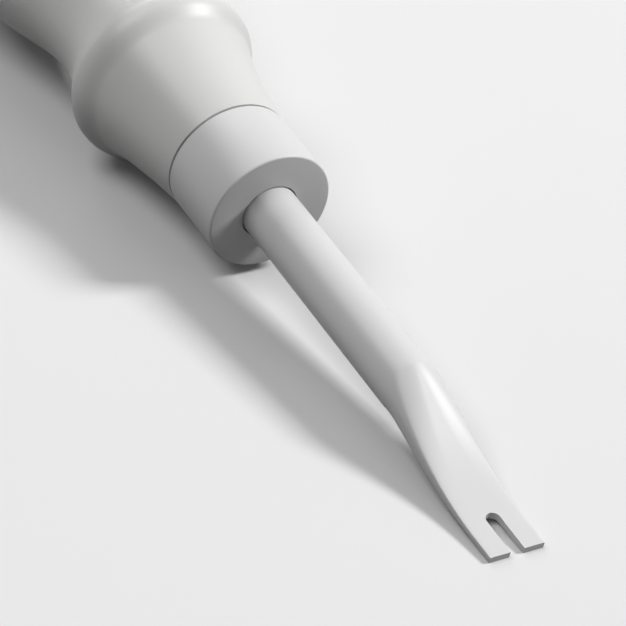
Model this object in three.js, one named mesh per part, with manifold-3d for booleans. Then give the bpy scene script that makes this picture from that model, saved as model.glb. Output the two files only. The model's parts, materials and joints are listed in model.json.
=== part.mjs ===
// Small forked hand tool: a turned grip, a capped ferrule, a round steel shaft pressed flat into a
// two-tined fork, and the cross pin that holds the shaft in the grip.
//
// Millimetres, +Z up. The tool lies on a bench as it is laid down: the bead of the grip and the
// under edge of the fork's tip touch Z = 0, and the tool points along +X.
//
// Every piece is first made in the tool's own frame: its axis is X, x = 0 is the front face of the
// ferrule, +x runs to the tip of the fork, and the fork's flats face +z and -z.

import * as THREE from "three";
import Module from "manifold-3d";
import { mergeVertices } from "three/addons/utils/BufferGeometryUtils.js";

// Shaft and fork
const shaftRadius = 4;
const forkLength = 63.5; // ferrule face to the tips of the tines
const forkHalfThickness = 0.45;
const faceRoundness = 0.11; // of the fork's faces; 1 is as round as the shaft, 0 is flat
const sideRoundness = 0.25; // of the fork's sides
const sideLag = 0.14; // below 1 the sides stay round for longer than the faces as the bar is pressed
const flatShare = 0.98; // how much of the fork's swell is left after its flats are trued
const crankStartSetback = 26.2; // where the shaft's middle line begins to drop, back from the tips
const crankEndSetback = 4.3;
const crankStartEase = 3.9; // length of the tangent at each end of the crank's curve
const crankEndEase = 11.1;
const pressStartSetback = 27.1; // where the section begins to flatten, back from the tips
const pressEndSetback = 2.7;
const pressStartEase = 0.63;
const pressEndEase = 18.1;
const slotWidth = 2.05;
const slotDepth = 6.5;
const tangLength = 48; // how far the shaft runs back behind the ferrule's front face

// Ferrule
const ferruleRadius = 9.15;
const ferruleLength = 11.75;
const ferruleWall = 0.9;
const ferruleFrontWall = 1.5;
const ferruleRimFillet = 0.2;
const shaftClearance = 0.2; // open ring between the shaft and the ferrule's front wall

// Grip, as distances back from its shoulder and radii
const jointGap = 0.3; // dark line between the ferrule and the grip's shoulder
const shoulderStep = 0.03; // how much prouder the grip's shoulder is than the ferrule
const footDistance = 15.9; // foot of the bead
const footRadius = 12.17;
const beadDistance = 20.1;
const beadRadius = 13.97;
const neckDistance = 32.7;
const neckRadius = 10.45;
const gripDistance = 60.6; // fattest ring of the grip
const gripRadius = 14.73;
const buttDistance = 98;
const buttRadius = 10.6; // where the rounded butt begins
const buttDome = 8.5; // length of the rounded butt

// How the grip's outline leaves and meets its rings: the lengths of its curves' tangents along the
// axis, and their slopes where they aren't level
const shoulderEase = 3.6;
const shoulderSlope = 0.149;
const footFrontEase = 5.1;
const footBackEase = 1.6;
const footSlope = 0.3;
const beadFrontEase = 2.2;
const beadBackEase = 2.3;
const neckFrontEase = 8.4;
const neckBackEase = 9.9;
const gripFrontEase = 12.5;
const gripBackEase = 13;
const buttFrontEase = 8;
const buttSlope = 0.275;
const domeBackEase = 5.6;
const domeSlope = 0.286;
const domeFlatness = 0.62; // share of the butt's radius over which its end is nearly flat

// Fits inside the grip
const fitClearance = 0.3;
const tangEndClearance = 1;
const pinRadius = 1.25;
const pinSetback = 7; // pin's axis behind the ferrule's front face
const pinEndRecess = 0.4; // how far each pin end stays below the spigot's surface

// Facets
const turnedSides = 48;
const shaftSides = 48;
const forkStations = 44;
const pinSides = 20;
const curveSteps = 9;
const runSteps = 200; // steps along the middle line and the thickness of the fork
const rimSteps = 3; // facets round the ferrule's rim
const slotArcSteps = 16;

const crankStart = forkLength - crankStartSetback;
const crankEnd = forkLength - crankEndSetback;
const pressStart = forkLength - pressStartSetback;
const pressEnd = forkLength - pressEndSetback;
const tipHeight = shaftRadius - forkHalfThickness; // the fork's underside is level with the shaft's
const shoulderX = -(ferruleLength + jointGap);
const shoulderRadius = ferruleRadius + shoulderStep;
const spigotRadius = ferruleRadius - ferruleWall - fitClearance;
const spigotFrontX = -(ferruleFrontWall + fitClearance);
const tangBoreRadius = shaftRadius + fitClearance;
const tangBoreEndX = -(tangLength + tangEndClearance);

const wasm = await Module();
wasm.setup();

const mergeDistance = 1e-5;

function withSharedVertices(geometry) {
  const bare = geometry.clone();
  bare.deleteAttribute("normal");
  bare.deleteAttribute("uv");
  return mergeVertices(bare, mergeDistance);
}

function solidFrom(geometry) {
  const merged = withSharedVertices(geometry);
  return new wasm.Manifold(
    new wasm.Mesh({
      numProp: 3,
      vertProperties: new Float32Array(merged.attributes.position.array),
      triVerts: new Uint32Array(merged.index.array),
    }),
  );
}

function geometryFrom(solid) {
  const mesh = solid.getMesh();
  const geometry = new THREE.BufferGeometry();
  geometry.setAttribute("position", new THREE.BufferAttribute(mesh.vertProperties, 3));
  geometry.setIndex(new THREE.BufferAttribute(mesh.triVerts, 1));
  geometry.computeVertexNormals();
  return geometry;
}

function cut(geometry, tools) {
  const start = solidFrom(geometry);
  return geometryFrom(tools.reduce((rest, tool) => rest.subtract(solidFrom(tool)), start));
}

// Turns an outline of (x, radius) points about the tool's axis. The half-facet start leaves a flat
// facet, and not a corner, at the bottom, so that the bead rests steadily.
function turned(outline) {
  const points = outline.map(([x, radius]) => new THREE.Vector2(radius, x));
  const geometry = new THREE.LatheGeometry(points, turnedSides, Math.PI / turnedSides, 2 * Math.PI);
  return geometry.rotateZ(-Math.PI / 2);
}

// Points of a cubic curve from one (x, radius) point to another, without the first.
function curve(from, fromHandle, toHandle, to, steps = curveSteps) {
  const bezier = new THREE.CubicBezierCurve(
    new THREE.Vector2(...from),
    new THREE.Vector2(...fromHandle),
    new THREE.Vector2(...toHandle),
    new THREE.Vector2(...to),
  );
  return bezier.getPoints(steps).slice(1).map((point) => [point.x, point.y]);
}

// Grip ---------------------------------------------------------------------------------------

// A point on the tangent of an (x, radius) point; the slope is how fast the radius falls forward.
function onTangent([x, radius], step, slope = 0) {
  return [x + step, radius - step * slope];
}

// The outside of the grip, from the middle of the butt forward to the shoulder.
function gripOutline() {
  const end = [shoulderX - buttDistance - buttDome, 0];
  const endEdge = [end[0], buttRadius * domeFlatness];
  const butt = [shoulderX - buttDistance, buttRadius];
  const grip = [shoulderX - gripDistance, gripRadius];
  const neck = [shoulderX - neckDistance, neckRadius];
  const bead = [shoulderX - beadDistance, beadRadius];
  const foot = [shoulderX - footDistance, footRadius];
  const shoulder = [shoulderX, shoulderRadius];
  return [
    end,
    ...curve(end, endEdge, onTangent(butt, -domeBackEase, -domeSlope), butt),
    ...curve(butt, onTangent(butt, buttFrontEase, -buttSlope), onTangent(grip, -gripBackEase), grip),
    ...curve(grip, onTangent(grip, gripFrontEase), onTangent(neck, -neckBackEase), neck),
    ...curve(neck, onTangent(neck, neckFrontEase), onTangent(bead, -beadBackEase), bead),
    ...curve(bead, onTangent(bead, beadFrontEase), onTangent(foot, -footBackEase, footSlope), foot),
    ...curve(
      foot,
      onTangent(foot, footFrontEase, footSlope),
      onTangent(shoulder, -shoulderEase, shoulderSlope),
      shoulder,
    ),
  ];
}

function handleGeometry() {
  const body = turned([
    ...gripOutline(),
    [shoulderX, spigotRadius],
    [spigotFrontX, spigotRadius],
    [spigotFrontX, tangBoreRadius],
    [tangBoreEndX, tangBoreRadius],
    [tangBoreEndX, 0],
  ]);
  return cut(body, [pinHole()]);
}

// Ferrule ------------------------------------------------------------------------------------

function ferruleGeometry() {
  const inside = ferruleRadius - ferruleWall;
  const bore = shaftRadius + shaftClearance;
  const rimCorner = [0, ferruleRadius];
  const rimStart = [-ferruleRimFillet, ferruleRadius];
  const rimEnd = [0, ferruleRadius - ferruleRimFillet];
  return turned([
    [-ferruleLength, inside],
    [-ferruleLength, ferruleRadius],
    rimStart,
    ...curve(rimStart, rimCorner, rimCorner, rimEnd, rimSteps),
    [0, bore],
    [-ferruleFrontWall, bore],
    [-ferruleFrontWall, inside],
    [-ferruleLength, inside],
  ]);
}

// Shaft and fork -----------------------------------------------------------------------------

// A curve's height at a station, for a curve that runs forward in x.
function heightAt(curvePoints, x) {
  const last = curvePoints.length - 1;
  if (x <= curvePoints[0].x) return curvePoints[0].y;
  if (x >= curvePoints[last].x) return curvePoints[last].y;
  const next = curvePoints.findIndex((point) => point.x > x);
  const from = curvePoints[next - 1];
  const to = curvePoints[next];
  return THREE.MathUtils.mapLinear(x, from.x, to.x, from.y, to.y);
}

function easedRun(startX, startY, endX, endY, startEase, endEase) {
  return new THREE.CubicBezierCurve(
    new THREE.Vector2(startX, startY),
    new THREE.Vector2(startX + startEase, startY),
    new THREE.Vector2(endX - endEase, endY),
    new THREE.Vector2(endX, endY),
  ).getPoints(runSteps);
}

const middleLine = easedRun(crankStart, 0, crankEnd, -tipHeight, crankStartEase, crankEndEase);

// Half the thickness of the section, from the round shaft to the thin fork
const pressing = easedRun(
  pressStart,
  shaftRadius,
  pressEnd,
  forkHalfThickness,
  pressStartEase,
  pressEndEase,
);

function signedPower(value, power) {
  return Math.abs(value) < mergeDistance ? 0 : Math.sign(value) * Math.abs(value) ** power;
}

// Moves a point of the round shaft onto the section at its station: as wide as the shaft, thinner,
// squarer, and flat on both faces where it has thinned out to the fork.
function shaftPoint(x, y, z) {
  const halfThickness = heightAt(pressing, x);
  const round = (halfThickness - forkHalfThickness) / (shaftRadius - forkHalfThickness);
  const sidePower = THREE.MathUtils.lerp(sideRoundness, 1, round ** sideLag);
  const facePower = THREE.MathUtils.lerp(faceRoundness, 1, round);
  const trueing = THREE.MathUtils.lerp(flatShare, 1, round);
  const across = signedPower(y / shaftRadius, sidePower);
  const swell = THREE.MathUtils.clamp(signedPower(z / shaftRadius, facePower) / trueing, -1, 1);
  return new THREE.Vector3(x, shaftRadius * across, heightAt(middleLine, x) + halfThickness * swell);
}

// A cylinder whose first ring is the end of the tang and whose other rings are the fork's stations.
function shaftBlank() {
  const bar = new THREE.CylinderGeometry(
    shaftRadius,
    shaftRadius,
    forkStations,
    shaftSides,
    forkStations,
  );
  const blank = withSharedVertices(bar.rotateZ(-Math.PI / 2));
  const firstStationX = Math.min(pressStart, crankStart);
  const position = blank.attributes.position;
  for (let index = 0; index < position.count; index += 1) {
    const station = Math.round(position.getX(index) + forkStations / 2);
    const x = station === 0
      ? -tangLength
      : THREE.MathUtils.mapLinear(station, 1, forkStations, firstStationX, forkLength);
    const point = shaftPoint(x, position.getY(index), position.getZ(index));
    position.setXYZ(index, point.x, point.y, point.z);
  }
  return blank;
}

// A round-ended slot, open at the tips of the tines.
function forkSlot() {
  const halfWidth = slotWidth / 2;
  const roundCentreX = forkLength - slotDepth + halfWidth;
  const mouthX = forkLength + slotDepth; // well clear of the tips
  const outline = new THREE.Shape();
  outline.moveTo(mouthX, -halfWidth);
  outline.lineTo(mouthX, halfWidth);
  outline.lineTo(roundCentreX, halfWidth);
  outline.absarc(roundCentreX, 0, halfWidth, Math.PI / 2, (3 * Math.PI) / 2, false);
  outline.closePath();
  const depth = 4 * shaftRadius; // deeper than the shaft and its crank together
  const extrusion = { depth, bevelEnabled: false, curveSegments: slotArcSteps };
  const slot = new THREE.ExtrudeGeometry(outline, extrusion);
  return slot.translate(0, 0, -depth / 2);
}

// Cross pin ----------------------------------------------------------------------------------

const pinLength = 2 * (spigotRadius - pinEndRecess);

function pinCylinder(radius, length) {
  return new THREE.CylinderGeometry(radius, radius, length, pinSides).translate(-pinSetback, 0, 0);
}

function pinHole() {
  const length = 4 * spigotRadius; // right through the spigot, with room to spare
  return pinCylinder(pinRadius + fitClearance, length);
}

// Assembly -----------------------------------------------------------------------------------

function piece(name, geometry, color, roughness, metalness) {
  const mesh = new THREE.Mesh(geometry, new THREE.MeshStandardMaterial({ color, roughness, metalness }));
  mesh.name = name;
  return mesh;
}

const tool = new THREE.Group();
tool.add(piece("handle", handleGeometry(), 0xd2d2d0, 0.45, 0));
tool.add(piece("ferrule", ferruleGeometry(), 0xd0d0d0, 0.4, 0.1));
tool.add(piece("fork_blade", cut(shaftBlank(), [forkSlot(), pinHole()]), 0xcfcfcf, 0.4, 0.1));
tool.add(piece("tang_pin", pinCylinder(pinRadius, pinLength), 0x8c8f92, 0.35, 0.9));

// Nose-down angle at which the bead and the under edge of the fork's tip touch one flat surface.
const facetShare = Math.cos(Math.PI / turnedSides);
const restAngles = gripOutline().map(([x, radius]) =>
  Math.atan2(radius * facetShare - shaftRadius, forkLength - x));
tool.rotation.y = Math.max(...restAngles);

const part = new THREE.Group();
part.add(tool);
part.updateMatrixWorld(true);
const bounds = new THREE.Box3().setFromObject(tool, true);
const middle = bounds.getCenter(new THREE.Vector3());
tool.position.set(-middle.x, -middle.y, -bounds.min.z);

export default part;
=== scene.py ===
import json
import math

import bpy
from bpy.props import FloatProperty, FloatVectorProperty, IntProperty, PointerProperty
from mathutils import Matrix, Vector


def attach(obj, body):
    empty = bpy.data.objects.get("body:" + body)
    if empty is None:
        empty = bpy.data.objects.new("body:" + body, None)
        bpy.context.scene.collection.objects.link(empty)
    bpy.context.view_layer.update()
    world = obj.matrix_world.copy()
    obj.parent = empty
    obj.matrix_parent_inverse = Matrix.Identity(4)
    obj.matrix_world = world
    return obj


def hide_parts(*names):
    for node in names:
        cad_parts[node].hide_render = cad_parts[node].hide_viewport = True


bl_info = {
    "name": "Forked Hand Tool",
    "version": (1, 0, 0),
    "blender": (4, 5, 0),
    "location": "3D View > Sidebar > Forked Tool",
    "description": "Builds the smooth grip, ferrule, fork and pin of a small forked hand tool",
    "category": "Add Mesh",
}

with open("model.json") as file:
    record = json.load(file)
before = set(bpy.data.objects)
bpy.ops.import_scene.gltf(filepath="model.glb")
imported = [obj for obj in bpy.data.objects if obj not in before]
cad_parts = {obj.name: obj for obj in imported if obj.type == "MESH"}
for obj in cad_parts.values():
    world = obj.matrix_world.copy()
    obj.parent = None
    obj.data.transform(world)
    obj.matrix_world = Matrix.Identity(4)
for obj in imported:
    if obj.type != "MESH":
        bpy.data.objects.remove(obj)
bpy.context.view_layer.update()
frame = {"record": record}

MM = 0.001

# Light from all round, and how bright the camera and reflections see the backdrop.
WORLD_LEVEL = 0.157
BACKDROP_LEVEL = 0.92

# The lamps: direction from the ferrule in the tool's own frame, side of the square and watts.
LAMP_DISTANCE = 1.2
LAMPS = {
    "key": ((0.18, 0.7, 0.69), 0.3, 12.25),
    "fill": ((-0.25, -0.5, 0.83), 0.6, 4.63),
    "back": ((-0.85, 0.1, 0.5), 0.6, 3.07),
}

# The camera looks along the shaft from beyond the fork's tip, with a long lens.
CAMERA_LENS = 145.94
CAMERA_PLACE = (0.267015, -0.162776, 0.191362)
CAMERA_TURN = tuple(math.radians(angle) for angle in (55.552, -7.7, 59.4782))

# ---------------------------------------------------------------- the tool's own frame
# Every piece is modelled in the tool's own frame: its axis is X, x = 0 is the ferrule's front face,
# +x runs to the fork's tip and the fork's flats face +z and -z. The tool lies nose down, on the
# bead of its grip and on the under edge of the fork's tip.

# The turned solids have 48 facets and the tool rests on one of them. The smooth grip is thinner by
# the depth of a facet, so that it stays inside the solids' box and on the floor.
SMOOTH_SHARE = 0.9976

# How fast the radius falls, going forward, where the bead meets the cone and at the shoulder.
FOOT_SLOPE = 0.3
SHOULDER_SLOPE = 0.149

# The rounded butt: the share of its radius over which its end is nearly flat, and the tangent on
# which it meets the grip, as a share of its length and a fall in radius.
DOME_FLATNESS = 0.62
DOME_EASE = 0.66
DOME_DROP = 1.6 * MM

# The blade: the tangents at the ends of its crank and of its pressing, how much of the fork's
# swell is left after its flats are trued, and its facets round and along.
CRANK_EASES = (3.9 * MM, 11.1 * MM)
PRESS_EASES = (0.63 * MM, 18.1 * MM)
FLAT_SHARE = 0.98
BLADE_SIDES = 96
BLADE_STATIONS = 140

# A ring that is drawn in to the axis ends at this radius before its points are merged into one.
POLE_RADIUS = 0.001 * MM


def hex_colour(text):
    """An sRGB hex colour as a linear (r, g, b)."""
    def linear(value):
        return value / 12.92 if value <= 0.04045 else ((value + 0.055) / 1.055) ** 2.4
    return tuple(linear(int(text[i:i + 2], 16) / 255) for i in (1, 3, 5))


# ---------------------------------------------------------------- sizes and colours


class GripSizes(bpy.types.PropertyGroup):
    """The turned grip, as distances behind its shoulder and radii there."""

    shoulder_radius: FloatProperty(
        name="Shoulder radius", description="Radius where the grip meets the ferrule",
        default=9.18 * MM, unit="LENGTH")
    joint_gap: FloatProperty(
        name="Joint gap", description="Open line between the ferrule and the grip's shoulder",
        default=0.3 * MM, unit="LENGTH")
    foot_distance: FloatProperty(
        name="Bead foot distance", description="Where the long cone meets the bead",
        default=15.9 * MM, unit="LENGTH")
    foot_radius: FloatProperty(
        name="Bead foot radius", description="Radius where the long cone meets the bead",
        default=12.17 * MM, unit="LENGTH")
    bead_distance: FloatProperty(
        name="Bead distance", description="Where the bead is fattest",
        default=20.1 * MM, unit="LENGTH")
    bead_radius: FloatProperty(
        name="Bead radius", description="Radius of the bead at its fattest",
        default=13.97 * MM, unit="LENGTH")
    neck_distance: FloatProperty(
        name="Neck distance", description="Where the neck is thinnest",
        default=32.7 * MM, unit="LENGTH")
    neck_radius: FloatProperty(
        name="Neck radius", description="Radius of the neck at its thinnest",
        default=10.45 * MM, unit="LENGTH")
    grip_distance: FloatProperty(
        name="Grip distance", description="Where the grip is fattest",
        default=60.6 * MM, unit="LENGTH")
    grip_radius: FloatProperty(
        name="Grip radius", description="Radius of the grip at its fattest",
        default=14.73 * MM, unit="LENGTH")
    butt_distance: FloatProperty(
        name="Butt distance", description="Where the rounded butt begins",
        default=98 * MM, unit="LENGTH")
    butt_radius: FloatProperty(
        name="Butt radius", description="Radius where the rounded butt begins",
        default=10.6 * MM, unit="LENGTH")
    butt_dome: FloatProperty(
        name="Butt dome", description="Length of the rounded butt",
        default=8.5 * MM, unit="LENGTH")
    shoulder_edge: FloatProperty(
        name="Shoulder edge", description="Rounding of the shoulder's edge at the joint",
        default=0.06 * MM, unit="LENGTH")
    bore_end_gap: FloatProperty(
        name="Bore end gap", description="Room between the end of the tang and its bore",
        default=1 * MM, unit="LENGTH")
    sides: IntProperty(
        name="Sides", description="Facets round the grip", default=128, min=16)
    steps: IntProperty(
        name="Steps", description="Rings along each curve of the outline", default=22, min=4)


class FerruleSizes(bpy.types.PropertyGroup):
    """The drawn cup on the front of the grip."""

    radius: FloatProperty(
        name="Radius", description="Outside radius", default=9.15 * MM, unit="LENGTH")
    length: FloatProperty(
        name="Length", description="Length of the cup", default=11.75 * MM, unit="LENGTH")
    wall: FloatProperty(
        name="Wall", description="Thickness of the cup's side", default=0.9 * MM, unit="LENGTH")
    front_wall: FloatProperty(
        name="Front wall", description="Thickness of the cup's front", default=1.5 * MM, unit="LENGTH")
    rim_radius: FloatProperty(
        name="Rim radius", description="Rounding of the front edge", default=0.28 * MM, unit="LENGTH")
    back_radius: FloatProperty(
        name="Back radius", description="Rounding of the edge at the joint",
        default=0.05 * MM, unit="LENGTH")
    bore_edge: FloatProperty(
        name="Bore edge", description="Rounding of the edge round the shaft",
        default=0.05 * MM, unit="LENGTH")
    back_inset: FloatProperty(
        name="Back inset", description="How far the worn back edge stands off the joint",
        default=0.08 * MM, unit="LENGTH")
    bore_clearance: FloatProperty(
        name="Bore clearance", description="Open ring between the front wall and the shaft",
        default=0.2 * MM, unit="LENGTH")


class BladeSizes(bpy.types.PropertyGroup):
    """The shaft, its crank and the fork."""

    radius: FloatProperty(
        name="Shaft radius", description="Radius of the round shaft", default=4 * MM, unit="LENGTH")
    length: FloatProperty(
        name="Length", description="From the ferrule's face to the tips of the tines",
        default=63.5 * MM, unit="LENGTH")
    tang: FloatProperty(
        name="Tang", description="How far the shaft runs back behind the ferrule's face",
        default=48 * MM, unit="LENGTH")
    half_thickness: FloatProperty(
        name="Half thickness", description="Half the thickness of the fork",
        default=0.45 * MM, unit="LENGTH")
    face_roundness: FloatProperty(
        name="Face roundness", description="Of the fork's faces: 1 is as round as the shaft, 0 is flat",
        default=0.11, min=0.05, max=1)
    side_roundness: FloatProperty(
        name="Side roundness", description="Of the fork's sides: 1 is as round as the shaft, 0 is flat",
        default=0.25, min=0.05, max=1)
    side_lag: FloatProperty(
        name="Side lag", description="Below 1 the sides stay round for longer than the faces",
        default=0.14, min=0.01, max=1)
    crank_start: FloatProperty(
        name="Crank start", description="Where the middle line begins to drop",
        default=37.3 * MM, unit="LENGTH")
    crank_end: FloatProperty(
        name="Crank end", description="Where the middle line runs level again",
        default=59.2 * MM, unit="LENGTH")
    press_start: FloatProperty(
        name="Press start", description="Where the section begins to flatten",
        default=36.4 * MM, unit="LENGTH")
    press_end: FloatProperty(
        name="Press end", description="Where the section is as thin as the fork",
        default=60.8 * MM, unit="LENGTH")
    slot_width: FloatProperty(
        name="Slot width", description="Width of the slot between the tines",
        default=2.05 * MM, unit="LENGTH")
    slot_depth: FloatProperty(
        name="Slot depth", description="From the tips of the tines to the slot's round end",
        default=6.5 * MM, unit="LENGTH")


class PinSizes(bpy.types.PropertyGroup):
    """The cross pin through the spigot and the tang."""

    radius: FloatProperty(
        name="Radius", description="Radius of the pin", default=1.25 * MM, unit="LENGTH")
    setback: FloatProperty(
        name="Setback", description="How far the pin lies behind the ferrule's face",
        default=7 * MM, unit="LENGTH")
    end_recess: FloatProperty(
        name="End recess", description="How far each end stays below the spigot's surface",
        default=0.4 * MM, unit="LENGTH")
    end_bevel: FloatProperty(
        name="End bevel", description="Bevel of the pin's ends", default=0.2 * MM, unit="LENGTH")
    clearance: FloatProperty(
        name="Clearance", description="Open ring between fitted pieces", default=0.3 * MM, unit="LENGTH")


class FinishColours(bpy.types.PropertyGroup):
    """The pale grey coats and the bare steel."""

    lacquer: FloatVectorProperty(
        name="Lacquer", description="Pale grey lacquer on the wooden grip",
        subtype="COLOR", size=3, default=hex_colour("#d9d9d8"))
    powder: FloatVectorProperty(
        name="Powder coat", description="Pale grey powder coat on the ferrule and the fork",
        subtype="COLOR", size=3, default=hex_colour("#d8d8d8"))
    steel: FloatVectorProperty(
        name="Steel", description="Bare drawn steel of the pin",
        subtype="COLOR", size=3, default=hex_colour("#b9bbbd"))
    floor: FloatVectorProperty(
        name="Floor", description="Pale floor that the tool lies on",
        subtype="COLOR", size=3, default=hex_colour("#efefef"))


class ToolSettings(bpy.types.PropertyGroup):
    """All that a user of this tool would change."""

    grip: PointerProperty(type=GripSizes)
    ferrule: PointerProperty(type=FerruleSizes)
    blade: PointerProperty(type=BladeSizes)
    pin: PointerProperty(type=PinSizes)
    colours: PointerProperty(type=FinishColours)


def settings():
    return bpy.context.scene.forked_tool


# ---------------------------------------------------------------- curves and placing


def bezier(start, start_handle, end_handle, end, steps):
    """Points of a cubic curve in the plane, without its first."""
    points = []
    for i in range(1, steps + 1):
        t = i / steps
        weights = ((1 - t) ** 3, 3 * (1 - t) ** 2 * t, 3 * (1 - t) * t ** 2, t ** 3)
        corners = (start, start_handle, end_handle, end)
        points.append(tuple(sum(w * c[k] for w, c in zip(weights, corners)) for k in (0, 1)))
    return points


def eased_run(start, end, start_ease, end_ease):
    """A curve that leaves its start and meets its end level, as (x, y) points."""
    handles = ((start[0] + start_ease, start[1]), (end[0] - end_ease, end[1]))
    return [start] + bezier(start, *handles, end, 200)


def height_at(points, x):
    """The height of a run of points at x, held level past its ends."""
    if x <= points[0][0]:
        return points[0][1]
    for (x0, y0), (x1, y1) in zip(points, points[1:]):
        if x <= x1:
            return y0 + (y1 - y0) * (x - x0) / (x1 - x0)
    return points[-1][1]


def tool_placing():
    """The matrix that lays the tool's own frame down on the floor. The record's mount on the
    ferrule's front face gives the frame's origin and its x axis."""
    front = next(mount for mount in frame["record"]["mounts"] if mount["name"] == "ferrule_front")
    axis = Vector(front["axis"])
    place = Vector(front["pos_m"])
    nose_down = Matrix.Rotation(math.atan2(-axis.z, axis.x), 4, "Y")
    return Matrix.Translation((place.x, 0, place.z)) @ nose_down


# ---------------------------------------------------------------- modelling with operators


def deselect_all():
    if bpy.context.object and bpy.context.object.mode != "OBJECT":
        bpy.ops.object.mode_set(mode="OBJECT")
    bpy.ops.object.select_all(action="DESELECT")


def select_only(piece):
    deselect_all()
    piece.select_set(True)
    bpy.context.view_layer.objects.active = piece


def ring_primitive(name, sides, radius, x):
    """An open ring of points round the tool's axis, ready to be extruded in edit mode."""
    deselect_all()
    bpy.ops.mesh.primitive_circle_add(
        vertices=sides, radius=radius, fill_type="NOTHING",
        location=(x, 0, 0), rotation=(0, math.pi / 2, 0))
    ring = bpy.context.object
    ring.name = name
    ring.data.name = name
    bpy.ops.object.transform_apply(location=True, rotation=True, scale=True)
    bpy.ops.object.mode_set(mode="EDIT")
    bpy.ops.mesh.select_all(action="SELECT")
    return ring


def extrude_ring(step, share, centre_x):
    """Extrudes the selected ring along the axis and scales it about the axis."""
    bpy.ops.mesh.extrude_edges_move(TRANSFORM_OT_translate={"value": (step, 0, 0)})
    bpy.ops.transform.resize(value=(1, share, share), center_override=(centre_x, 0, 0))


def turn_on_lathe(name, outline, sides):
    """Extrudes one ring along an outline of (x, radius) points."""
    piece = ring_primitive(name, sides, outline[0][1], outline[0][0])
    for (x0, r0), (x1, r1) in zip(outline, outline[1:]):
        extrude_ring(x1 - x0, r1 / r0, x1)
    return piece


def close_ends(piece):
    """Merges the rings that were drawn in to the axis, joins a closed outline and faces all outward."""
    bpy.ops.mesh.select_all(action="SELECT")
    bpy.ops.mesh.remove_doubles(threshold=4 * POLE_RADIUS)
    bpy.ops.mesh.normals_make_consistent(inside=False)
    bpy.ops.object.mode_set(mode="OBJECT")


def cut_away(piece, cutter):
    """Cuts the cutter's shape out of the piece and removes the cutter."""
    select_only(piece)
    cut = piece.modifiers.new("cut", "BOOLEAN")
    cut.operation = "DIFFERENCE"
    cut.solver = "EXACT"
    cut.object = cutter
    bpy.ops.object.modifier_apply(modifier=cut.name)
    bpy.data.objects.remove(cutter)


def drill_for_pin(piece):
    """Drills the cross hole that the pin goes through."""
    pin = settings().pin
    deselect_all()
    bpy.ops.mesh.primitive_cylinder_add(
        vertices=48, radius=pin.radius + pin.clearance, depth=8 * settings().ferrule.radius,
        location=(-pin.setback, 0, 0), rotation=(math.pi / 2, math.pi / 48, 0))
    drill = bpy.context.object
    bpy.ops.object.transform_apply(location=True, rotation=True, scale=True)
    cut_away(piece, drill)


def lay_down(piece):
    """Moves a finished piece from the tool's own frame into its place, with its object at the origin."""
    select_only(piece)
    piece.matrix_world = tool_placing()
    bpy.ops.object.transform_apply(location=True, rotation=True, scale=True)


def smooth(piece, degrees):
    select_only(piece)
    bpy.ops.object.shade_smooth_by_angle(angle=math.radians(degrees))


def finish_piece(piece, slot, material, *nodes):
    piece.data.materials.clear()
    piece.data.materials.append(material)
    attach(piece, "root")
    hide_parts(*nodes)


# ---------------------------------------------------------------- materials


def add_node(tree, kind, sets=None, links=None, **options):
    """Adds a node, sets its options and input values, and links its inputs to other nodes' outputs."""
    node = tree.nodes.new(kind)
    for key, value in options.items():
        setattr(node, key, value)
    for key, value in (sets or {}).items():
        node.inputs[key].default_value = value
    for key, output in (links or {}).items():
        tree.links.new(output, node.inputs[key])
    return node


def new_material(name):
    material = bpy.data.materials.new(name)
    material.use_nodes = True
    material.node_tree.nodes.clear()
    return material, material.node_tree


def powder_coated_steel():
    """Powder coat over steel, baked: a satin skin with a faint orange peel about 1.2 mm across and
    a slight mottle where the powder lies thicker. To the eye it is an even pale grey."""
    material, tree = new_material("powder_coated_steel")
    place = add_node(tree, "ShaderNodeTexCoord").outputs["Object"]
    peel = add_node(tree, "ShaderNodeTexNoise",
                    {"Scale": 1 / (1.2 * MM), "Detail": 2.0, "Roughness": 0.45}, {"Vector": place})
    mottle = add_node(tree, "ShaderNodeTexNoise",
                      {"Scale": 1 / (14 * MM), "Detail": 3.0}, {"Vector": place})
    base = settings().colours.powder
    ramp = add_node(tree, "ShaderNodeMix", {"A": (*[c * 0.975 for c in base], 1), "B": (*base, 1)},
                    {"Factor": mottle.outputs["Fac"]}, data_type="RGBA")
    gloss = add_node(tree, "ShaderNodeMapRange",
                     {"To Min": 0.39, "To Max": 0.46}, {"Value": mottle.outputs["Fac"]})
    bump = add_node(tree, "ShaderNodeBump", {"Strength": 0.12, "Distance": 0.02 * MM},
                    {"Height": peel.outputs["Fac"]})
    shader = add_node(tree, "ShaderNodeBsdfPrincipled", {"Metallic": 0.0, "IOR": 1.5},
                      {"Base Color": ramp.outputs["Result"], "Roughness": gloss.outputs["Result"],
                       "Normal": bump.outputs["Normal"]})
    add_node(tree, "ShaderNodeOutputMaterial", links={"Surface": shader.outputs["BSDF"]})
    return material


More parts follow.
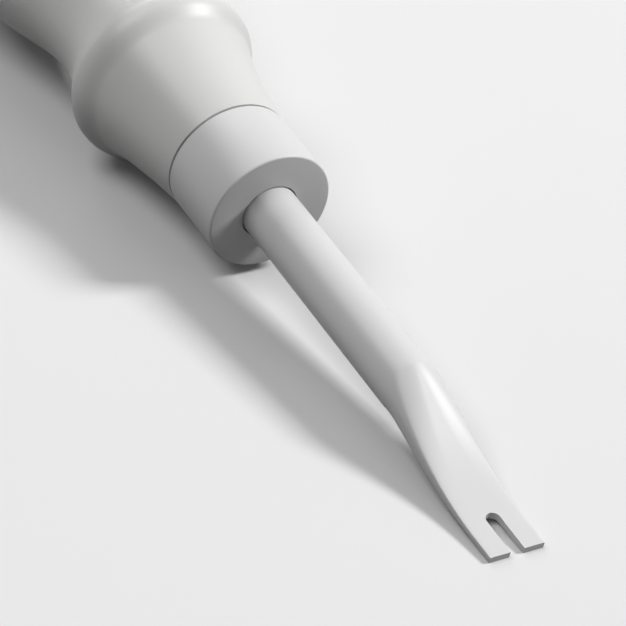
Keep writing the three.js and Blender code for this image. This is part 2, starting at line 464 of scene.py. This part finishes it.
def lacquered_beech():
    """Beech turned on a lathe, sanded and sprayed with pale grey satin lacquer: the grain is filled,
    and only a faint streaking along the grip is left."""
    material, tree = new_material("lacquered_beech")
    place = add_node(tree, "ShaderNodeTexCoord").outputs["Object"]
    along = add_node(tree, "ShaderNodeMapping", {"Scale": (0.06, 1.0, 1.0)}, {"Vector": place})
    grain = add_node(tree, "ShaderNodeTexNoise",
                     {"Scale": 1 / (0.9 * MM), "Detail": 4.0, "Roughness": 0.55},
                     {"Vector": along.outputs["Vector"]})
    mottle = add_node(tree, "ShaderNodeTexNoise",
                      {"Scale": 1 / (18 * MM), "Detail": 3.0}, {"Vector": place})
    base = settings().colours.lacquer
    tint = add_node(tree, "ShaderNodeMix", {"A": (*[c * 0.975 for c in base], 1), "B": (*base, 1)},
                    {"Factor": grain.outputs["Fac"]}, data_type="RGBA")
    gloss = add_node(tree, "ShaderNodeMapRange",
                     {"To Min": 0.38, "To Max": 0.46}, {"Value": mottle.outputs["Fac"]})
    bump = add_node(tree, "ShaderNodeBump", {"Strength": 0.1, "Distance": 0.02 * MM},
                    {"Height": grain.outputs["Fac"]})
    shader = add_node(tree, "ShaderNodeBsdfPrincipled", {"Metallic": 0.0, "IOR": 1.5},
                      {"Base Color": tint.outputs["Result"], "Roughness": gloss.outputs["Result"],
                       "Normal": bump.outputs["Normal"]})
    add_node(tree, "ShaderNodeOutputMaterial", links={"Surface": shader.outputs["BSDF"]})
    return material


def drawn_steel():
    """Bare drawn steel wire: bright, with fine scratches along its length."""
    material, tree = new_material("drawn_steel")
    place = add_node(tree, "ShaderNodeTexCoord").outputs["Object"]
    along = add_node(tree, "ShaderNodeMapping", {"Scale": (1.0, 0.05, 1.0)}, {"Vector": place})
    scratch = add_node(tree, "ShaderNodeTexNoise", {"Scale": 1 / (0.3 * MM), "Detail": 3.0},
                       {"Vector": along.outputs["Vector"]})
    base = settings().colours.steel
    tint = add_node(tree, "ShaderNodeMix", {"A": (*[c * 0.85 for c in base], 1), "B": (*base, 1)},
                    {"Factor": scratch.outputs["Fac"]}, data_type="RGBA")
    gloss = add_node(tree, "ShaderNodeMapRange",
                     {"To Min": 0.25, "To Max": 0.45}, {"Value": scratch.outputs["Fac"]})
    shader = add_node(tree, "ShaderNodeBsdfPrincipled", {"Metallic": 1.0},
                      {"Base Color": tint.outputs["Result"], "Roughness": gloss.outputs["Result"]})
    add_node(tree, "ShaderNodeOutputMaterial", links={"Surface": shader.outputs["BSDF"]})
    return material


def seen_rays(tree):
    """1 for the rays that show a surface, straight, in a reflection or through glass, else 0."""
    path = add_node(tree, "ShaderNodeLightPath")
    straight_or_reflected = add_node(
        tree, "ShaderNodeMath", links={0: path.outputs["Is Camera Ray"], 1: path.outputs["Is Glossy Ray"]},
        operation="MAXIMUM")
    seen = add_node(
        tree, "ShaderNodeMath",
        links={0: straight_or_reflected.outputs["Value"], 1: path.outputs["Is Transmission Ray"]},
        operation="MAXIMUM")
    return seen.outputs["Value"]


def pale_floor():
    """A pale painted board. Light that bounces off it is weaker than it looks, so that the tool's
    under sides keep their shade."""
    material, tree = new_material("pale_painted_board")
    place = add_node(tree, "ShaderNodeTexCoord").outputs["Object"]
    paint = add_node(tree, "ShaderNodeTexNoise",
                     {"Scale": 1 / (60 * MM), "Detail": 4.0}, {"Vector": place})
    base = settings().colours.floor
    tint = add_node(tree, "ShaderNodeMix", {"A": (*[c * 0.98 for c in base], 1), "B": (*base, 1)},
                    {"Factor": paint.outputs["Fac"]}, data_type="RGBA")
    seen = add_node(tree, "ShaderNodeBsdfDiffuse", {"Roughness": 0.5}, {"Color": tint.outputs["Result"]})
    bounce = add_node(tree, "ShaderNodeBsdfDiffuse", {"Color": (*[c * 0.15 for c in base], 1)})
    distance = add_node(tree, "ShaderNodeVectorMath", operation="LENGTH")
    tree.links.new(place, distance.inputs[0])
    far = add_node(tree, "ShaderNodeMapRange", {"From Min": 0.45, "From Max": 1.3},
                   {"Value": distance.outputs["Value"]})
    haze = add_node(tree, "ShaderNodeEmission", {"Color": (*base, 1), "Strength": BACKDROP_LEVEL})
    faded = add_node(tree, "ShaderNodeMixShader", links={"Fac": far.outputs["Result"]})
    tree.links.new(seen.outputs["BSDF"], faded.inputs[1])
    tree.links.new(haze.outputs["Emission"], faded.inputs[2])
    mix = add_node(tree, "ShaderNodeMixShader", links={"Fac": seen_rays(tree)})
    tree.links.new(bounce.outputs["BSDF"], mix.inputs[1])
    tree.links.new(faded.outputs["Shader"], mix.inputs[2])
    add_node(tree, "ShaderNodeOutputMaterial", links={"Surface": mix.outputs["Shader"]})
    return material


def studio_world():
    """Soft light from all round, behind which the camera sees the floor's own pale grey."""
    world = bpy.data.worlds.new("studio")
    world.use_nodes = True
    tree = world.node_tree
    tree.nodes.clear()
    light = add_node(tree, "ShaderNodeBackground", {"Color": (1, 1, 1, 1), "Strength": WORLD_LEVEL})
    backdrop = add_node(tree, "ShaderNodeBackground",
                        {"Color": (*settings().colours.floor, 1), "Strength": BACKDROP_LEVEL})
    mix = add_node(tree, "ShaderNodeMixShader", links={"Fac": seen_rays(tree)})
    tree.links.new(light.outputs["Background"], mix.inputs[1])
    tree.links.new(backdrop.outputs["Background"], mix.inputs[2])
    add_node(tree, "ShaderNodeOutputWorld", links={"Surface": mix.outputs["Shader"]})
    return world


# ---------------------------------------------------------------- outlines


def on_tangent(point, millimetres, slope=0.0):
    """The point that far forward of an (x, radius) point, on a tangent that falls by the slope."""
    step = millimetres * MM
    return (point[0] + step, point[1] - step * slope)


def grip_outline():
    """The outside of the grip from its butt forward to its shoulder, as (x, radius) points."""
    grip, steps = settings().grip, settings().grip.steps
    shoulder_x = -(settings().ferrule.length + grip.joint_gap)

    def at(distance, radius):
        return (shoulder_x - distance, radius)

    end = at(grip.butt_distance + grip.butt_dome, POLE_RADIUS)
    butt = at(grip.butt_distance, grip.butt_radius)
    fat = at(grip.grip_distance, grip.grip_radius)
    neck = at(grip.neck_distance, grip.neck_radius)
    bead = at(grip.bead_distance, grip.bead_radius)
    foot = at(grip.foot_distance, grip.foot_radius)
    shoulder = at(0, grip.shoulder_radius)

    butt_edge = (end[0], grip.butt_radius * DOME_FLATNESS)
    dome_end = (butt[0] - grip.butt_dome * DOME_EASE, butt[1] - DOME_DROP)
    outline = [end]
    outline += bezier(end, butt_edge, dome_end, butt, steps)
    outline += bezier(butt, on_tangent(butt, 8, -0.275), on_tangent(fat, -13), fat, steps)
    outline += bezier(fat, on_tangent(fat, 12.5), on_tangent(neck, -9.9), neck, steps)
    outline += bezier(neck, on_tangent(neck, 8.4), on_tangent(bead, -2.3), bead, steps)
    outline += bezier(bead, on_tangent(bead, 2.2), on_tangent(foot, -1.6, FOOT_SLOPE), foot, steps)
    outline += bezier(foot, on_tangent(foot, 5.1, FOOT_SLOPE),
                      on_tangent(shoulder, -3.6, SHOULDER_SLOPE), shoulder, steps)
    return [(x, radius * SMOOTH_SHARE) for x, radius in outline]


def rounded_corner(corner, towards_start, towards_end, radius, steps):
    """A quarter round in place of a corner of an (x, radius) outline; both directions are unit steps."""
    start = (corner[0] + towards_start[0] * radius, corner[1] + towards_start[1] * radius)
    end = (corner[0] + towards_end[0] * radius, corner[1] + towards_end[1] * radius)
    reach = 0.4477  # handle length that makes a cubic curve a quarter circle
    handles = [(p[0] - d[0] * radius * (1 - reach), p[1] - d[1] * radius * (1 - reach))
               for p, d in ((start, towards_start), (end, towards_end))]
    return [start] + bezier(start, *handles, end, steps)


# ---------------------------------------------------------------- operators


class BuildGrip(bpy.types.Operator):
    """Turns the grip with its spigot and blind bore from one ring"""

    bl_idname = "forked_tool.build_grip"
    bl_label = "Build grip"

    def execute(self, context):
        grip, ferrule, blade = settings().grip, settings().ferrule, settings().blade
        clearance = settings().pin.clearance
        shoulder_x = -(ferrule.length + grip.joint_gap)
        spigot = ferrule.radius - ferrule.wall - clearance
        spigot_front = -(ferrule.front_wall + clearance)
        bore = blade.radius + clearance
        bore_end = -(blade.tang + grip.bore_end_gap)
        outline = grip_outline()
        outline[-1:] = rounded_corner(outline[-1], (-1, 0.0), (0, -1), grip.shoulder_edge, 5)
        outline += [(shoulder_x, spigot), (spigot_front, spigot), (spigot_front, bore),
                    (bore_end, bore), (bore_end, POLE_RADIUS)]
        piece = turn_on_lathe("grip", outline, grip.sides)
        close_ends(piece)
        drill_for_pin(piece)
        smooth(piece, 40)
        lay_down(piece)
        finish_piece(piece, "grip", lacquered_beech(), "handle")
        return {"FINISHED"}


class BuildFerrule(bpy.types.Operator):
    """Turns the ferrule as a closed ring with a rounded front edge"""

    bl_idname = "forked_tool.build_ferrule"
    bl_label = "Build ferrule"

    def execute(self, context):
        ferrule, blade = settings().ferrule, settings().blade
        inside = ferrule.radius - ferrule.wall
        bore = blade.radius + ferrule.bore_clearance
        back = ferrule.back_inset - ferrule.length
        outline = [(back, inside)]
        outline += rounded_corner((back, ferrule.radius), (0, -1), (1, 0), ferrule.back_radius, 5)
        outline += rounded_corner((0, ferrule.radius), (-1, 0), (0, -1), ferrule.rim_radius, 6)
        outline += rounded_corner((0, bore), (0, 1), (-1, 0), ferrule.bore_edge, 3)
        outline += [(-ferrule.front_wall, bore), (-ferrule.front_wall, inside), (back, inside)]
        piece = turn_on_lathe("ferrule_cup", outline, settings().grip.sides)
        close_ends(piece)
        smooth(piece, 40)
        lay_down(piece)
        finish_piece(piece, "ferrule", powder_coated_steel(), "ferrule")
        return {"FINISHED"}


class BuildBlade(bpy.types.Operator):
    """Draws the shaft out of one ring, presses its end into a cranked fork and cuts the slot"""

    bl_idname = "forked_tool.build_blade"
    bl_label = "Build blade"

    def execute(self, context):
        blade = settings().blade
        stations = BLADE_STATIONS
        tip_height = blade.radius - blade.half_thickness
        middle = eased_run((blade.crank_start, 0), (blade.crank_end, -tip_height), *CRANK_EASES)
        thin = eased_run((blade.press_start, blade.radius), (blade.press_end, blade.half_thickness),
                         *PRESS_EASES)
        first = blade.press_start
        step = (blade.length - first) / stations
        xs = [-blade.tang, 0.0] + [first + step * i for i in range(stations + 1)]
        piece = ring_primitive("fork_and_shaft", BLADE_SIDES, blade.radius, xs[0])
        for x0, x1 in zip(xs, xs[1:]):
            extrude_ring(x1 - x0, 1, x1)
        bpy.ops.object.mode_set(mode="OBJECT")
        press_rings(piece, middle, thin)
        bpy.ops.object.mode_set(mode="EDIT")
        bpy.ops.mesh.select_all(action="SELECT")
        bpy.ops.mesh.region_to_loop()
        bpy.ops.mesh.edge_face_add()
        close_ends(piece)
        cut_slot(piece)
        drill_for_pin(piece)
        smooth(piece, 35)
        lay_down(piece)
        finish_piece(piece, "blade", powder_coated_steel(), "fork_blade")
        return {"FINISHED"}


def press_rings(piece, middle, thin):
    """Gives each ring its section. The squarer corner of a pressed section is a power of the round
    one, which no transform operator gives, so the points are set here."""
    blade = settings().blade
    radius = blade.radius
    for vertex in piece.data.vertices:
        x, y, z = vertex.co
        half = height_at(thin, x)
        round_share = (half - blade.half_thickness) / (radius - blade.half_thickness)
        side_power = blade.side_roundness + (1 - blade.side_roundness) * round_share ** blade.side_lag
        face_power = blade.face_roundness + (1 - blade.face_roundness) * round_share
        trueing = FLAT_SHARE + (1 - FLAT_SHARE) * round_share
        across = signed_power(y / radius, side_power)
        swell = max(-1, min(1, signed_power(z / radius, face_power) / trueing))
        vertex.co = (x, radius * across, height_at(middle, x) + half * swell)


def signed_power(value, power):
    return 0 if abs(value) < 1e-5 else math.copysign(min(abs(value), 1) ** power, value)


def cut_slot(piece):
    """Cuts the round-ended slot with a cutter drawn out of a cylinder."""
    blade = settings().blade
    half_width = blade.slot_width / 2
    centre = blade.length - blade.slot_depth + half_width
    deselect_all()
    bpy.ops.mesh.primitive_cylinder_add(
        vertices=64, radius=half_width, depth=4 * blade.radius, location=(centre, 0, 0))
    cutter = bpy.context.object
    bpy.ops.object.transform_apply(location=True, rotation=True, scale=True)
    reach = blade.length + 1 * MM - centre
    bpy.ops.object.mode_set(mode="EDIT")
    bpy.ops.mesh.select_mode(type="VERT")
    bpy.ops.mesh.select_all(action="DESELECT")
    bpy.ops.object.mode_set(mode="OBJECT")
    for vertex in cutter.data.vertices:
        vertex.select = vertex.co.x > centre - 1e-7
    bpy.ops.object.mode_set(mode="EDIT")
    bpy.ops.transform.resize(value=(0, 1, 1), center_override=(centre, 0, 0))
    bpy.ops.transform.translate(value=(reach, 0, 0))
    bpy.ops.mesh.select_all(action="SELECT")
    bpy.ops.mesh.normals_make_consistent(inside=False)
    bpy.ops.object.mode_set(mode="OBJECT")
    cut_away(piece, cutter)


class BuildPin(bpy.types.Operator):
    """Makes the cross pin, hidden under the ferrule, with bevelled ends"""

    bl_idname = "forked_tool.build_pin"
    bl_label = "Build pin"

    def execute(self, context):
        ferrule, pin = settings().ferrule, settings().pin
        spigot = ferrule.radius - ferrule.wall - pin.clearance
        deselect_all()
        bpy.ops.mesh.primitive_cylinder_add(
            vertices=48, radius=pin.radius, depth=2 * (spigot - pin.end_recess),
            location=(-pin.setback, 0, 0), rotation=(math.pi / 2, 0, 0))
        piece = bpy.context.object
        piece.name = "cross_pin"
        piece.data.name = "cross_pin"
        bpy.ops.object.transform_apply(location=True, rotation=True, scale=True)
        bevel = piece.modifiers.new("ends", "BEVEL")
        bevel.width = pin.end_bevel
        bevel.segments = 2
        bevel.limit_method = "ANGLE"
        bpy.ops.object.modifier_apply(modifier=bevel.name)
        smooth(piece, 35)
        lay_down(piece)
        finish_piece(piece, "pin", drawn_steel(), "tang_pin")
        return {"FINISHED"}


class BuildStage(bpy.types.Operator):
    """Sets the floor, the lights, the world and the camera"""

    bl_idname = "forked_tool.build_stage"
    bl_label = "Build stage"

    def execute(self, context):
        scene = context.scene
        deselect_all()
        bpy.ops.mesh.primitive_plane_add(size=6, location=(0, 0, 0))
        floor = context.object
        floor.name = "floor"
        floor.data.materials.append(pale_floor())
        placing = tool_placing()
        aim_camera(scene)
        for name, (direction, size, power) in LAMPS.items():
            add_lamp(name, placing, direction, size, power)
        scene.world = studio_world()
        scene.view_settings.view_transform = "Standard"
        return {"FINISHED"}


def aim_camera(scene):
    """Places the camera to the right of the fork's tip and above it, with a long lens."""
    data = bpy.data.cameras.new("view")
    data.sensor_width = 36
    data.lens = CAMERA_LENS
    camera = bpy.data.objects.new("view", data)
    scene.collection.objects.link(camera)
    camera.location = CAMERA_PLACE
    camera.rotation_euler = CAMERA_TURN
    scene.camera = camera


def add_lamp(name, placing, direction, size, power):
    """A square lamp that shines at the ferrule from a direction in the tool's own frame."""
    data = bpy.data.lights.new(name, "AREA")
    data.shape = "SQUARE"
    data.size = size
    data.energy = power
    lamp = bpy.data.objects.new(name, data)
    bpy.context.scene.collection.objects.link(lamp)
    towards = (placing.to_3x3() @ Vector(direction)).normalized()
    lamp.location = placing.translation + towards * LAMP_DISTANCE
    lamp.rotation_euler = towards.to_track_quat("Z", "Y").to_euler()


class ForkedToolPanel(bpy.types.Panel):
    """Lists the steps that build the tool"""

    bl_idname = "VIEW3D_PT_forked_tool"
    bl_label = "Forked Tool"
    bl_space_type = "VIEW_3D"
    bl_region_type = "UI"
    bl_category = "Forked Tool"

    def draw(self, context):
        for operator in OPERATORS:
            self.layout.operator(operator.bl_idname)
        tool = settings()
        for group in (tool.grip, tool.ferrule, tool.blade, tool.pin, tool.colours):
            box = self.layout.box()
            for name in group.__annotations__:
                box.prop(group, name)


OPERATORS = (BuildStage, BuildGrip, BuildFerrule, BuildBlade, BuildPin)
SETTING_GROUPS = (GripSizes, FerruleSizes, BladeSizes, PinSizes, FinishColours, ToolSettings)
CLASSES = (*SETTING_GROUPS, *OPERATORS, ForkedToolPanel)


def register():
    for cls in CLASSES:
        bpy.utils.register_class(cls)
    bpy.types.Scene.forked_tool = PointerProperty(type=ToolSettings)


def unregister():
    del bpy.types.Scene.forked_tool
    for cls in reversed(CLASSES):
        bpy.utils.unregister_class(cls)


def main():
    register()
    bpy.ops.forked_tool.build_stage()
    bpy.ops.forked_tool.build_grip()
    bpy.ops.forked_tool.build_ferrule()
    bpy.ops.forked_tool.build_blade()
    bpy.ops.forked_tool.build_pin()


if __name__ == "__main__":
    main()
